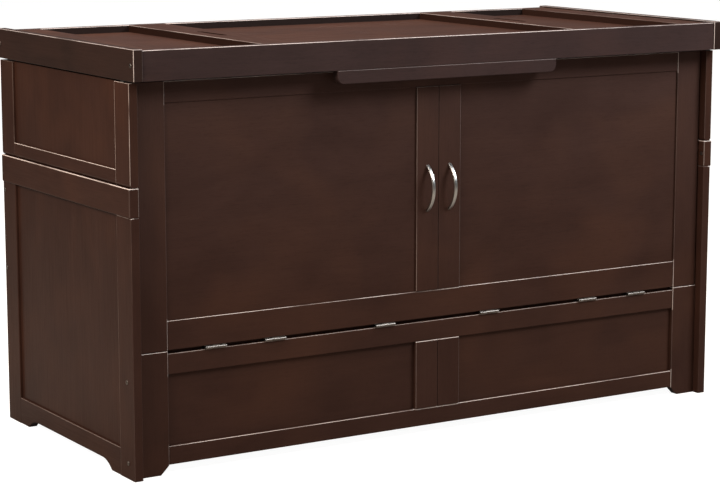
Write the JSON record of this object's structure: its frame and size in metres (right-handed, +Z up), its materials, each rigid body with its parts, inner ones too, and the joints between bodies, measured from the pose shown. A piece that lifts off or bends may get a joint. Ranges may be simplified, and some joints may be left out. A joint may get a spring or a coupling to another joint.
{
  "type": "cabinet bed",
  "caption": "Low dark wooden cabinet with a framed front and a tray top. Its front folds down and out into a bed platform on folding legs, and its lid tilts up behind.",
  "frame": {"origin": "middle of the floor area under the cabinet", "axes": "+X to the cabinet's right as seen from its front, -Y out of its front, +Z up"},
  "size_m": [1.63, 0.736, 0.954],
  "materials": {
    "dark_wood": "satin lacquer over dark stain",
    "panel_wood": "satin lacquer over dark stained veneer",
    "deck_wood": "plain, lightly sealed",
    "handle_metal": "satin nickel",
    "hinge_steel": "dull plated",
    "bolt_steel": "bronzed",
    "leg_metal": "black powder coat",
    "bracket_plastic": "matt",
    "rubber": "matt"
  },
  "bodies": {
    "cabinet": {"left_upper_stiles": "dark_wood", "left_upper_rail": "dark_wood", "left_upper_panel": "panel_wood", "left_cap_rail": "dark_wood", "left_legs": "dark_wood", "left_low_rail": "dark_wood", "left_lower_panel": "panel_wood", "right_upper_stiles": "dark_wood", "right_upper_rail": "dark_wood", "right_upper_panel": "panel_wood", "right_cap_rail": "dark_wood", "right_legs": "dark_wood", "right_low_rail": "dark_wood", "right_lower_panel": "panel_wood", "base_stiles": "dark_wood", "base_top_rail": "dark_wood", "base_bottom_rail": "dark_wood", "base_centre_stiles": "dark_wood", "base_panels": "panel_wood", "side_bolts": "bolt_steel", "lid_hinge_back_leaves": "hinge_steel", "lid_hinge_pins": "hinge_steel", "lid_rest_pads": "rubber", "front_hinge_base_leaves": "hinge_steel", "front_hinge_pins": "hinge_steel", "back_rails": "dark_wood", "back_stiles": "dark_wood", "back_panels": "panel_wood", "head_bearers": "deck_wood", "head_slats": "deck_wood"},
    "front_panel": {"door_stiles": "dark_wood", "door_top_rail": "dark_wood", "door_bottom_rail": "dark_wood", "door_centre_stiles": "dark_wood", "door_panels": "panel_wood", "door_handle_left": "handle_metal", "door_handle_right": "handle_metal", "handle_screws": "bolt_steel", "front_hinge_door_leaves": "hinge_steel", "foot_hinge_door_leaves": "hinge_steel", "foot_hinge_pins": "hinge_steel"},
    "foot_deck": {"foot_deck_frame": "deck_wood", "foot_deck_panels": "deck_wood", "foot_hinge_foot_leaves": "hinge_steel", "leg_brackets": "bracket_plastic"},
    "middle_legs": {"middle_leg_frame": "leg_metal", "middle_leg_caps": "rubber"},
    "foot_legs": {"foot_leg_frame": "leg_metal", "foot_leg_caps": "rubber"},
    "lid": {"lid_side_rail_left": "dark_wood", "lid_side_rail_right": "dark_wood", "lid_front_rail": "dark_wood", "lid_back_rail": "dark_wood", "lid_stiles": "dark_wood", "lid_dividers": "dark_wood", "lid_outer_panels": "panel_wood", "lid_centre_panel": "panel_wood", "lid_pull_bar": "dark_wood", "lid_bolts": "bolt_steel", "lid_hinge_lid_leaves": "hinge_steel"}
  },
  "joints": [
    {"name": "front_fold", "type": "hinge", "parent": "cabinet", "child": "front_panel", "pos_m": [0, -0.321, 0.278], "axis": [1, 0, 0], "range_deg": [0, 90]},
    {"name": "foot_unfold", "type": "hinge", "parent": "front_panel", "child": "foot_deck", "pos_m": [0, -0.297, 0.882], "axis": [1, 0, 0], "range_deg": [0, 180]},
    {"name": "lid_tilt", "type": "hinge", "parent": "cabinet", "child": "lid", "pos_m": [0, 0.365, 0.882], "axis": [-1, 0, 0], "range_deg": [0, 90]},
    {"name": "middle_leg_fold", "type": "hinge", "parent": "foot_deck", "child": "middle_legs", "pos_m": [0, -0.26, 0.854], "axis": [1, 0, 0], "range_deg": [0, 90]},
    {"name": "foot_leg_fold", "type": "hinge", "parent": "foot_deck", "child": "foot_legs", "pos_m": [0, -0.26, 0.33], "axis": [-1, 0, 0], "range_deg": [0, 90]}
  ],
  "couplings": [
    {"joint": "foot_unfold", "follows": "front_fold", "ratio": 2},
    {"joint": "lid_tilt", "follows": "front_fold", "ratio": 1},
    {"joint": "middle_leg_fold", "follows": "front_fold", "ratio": 1},
    {"joint": "foot_leg_fold", "follows": "front_fold", "ratio": 1}
  ]
}
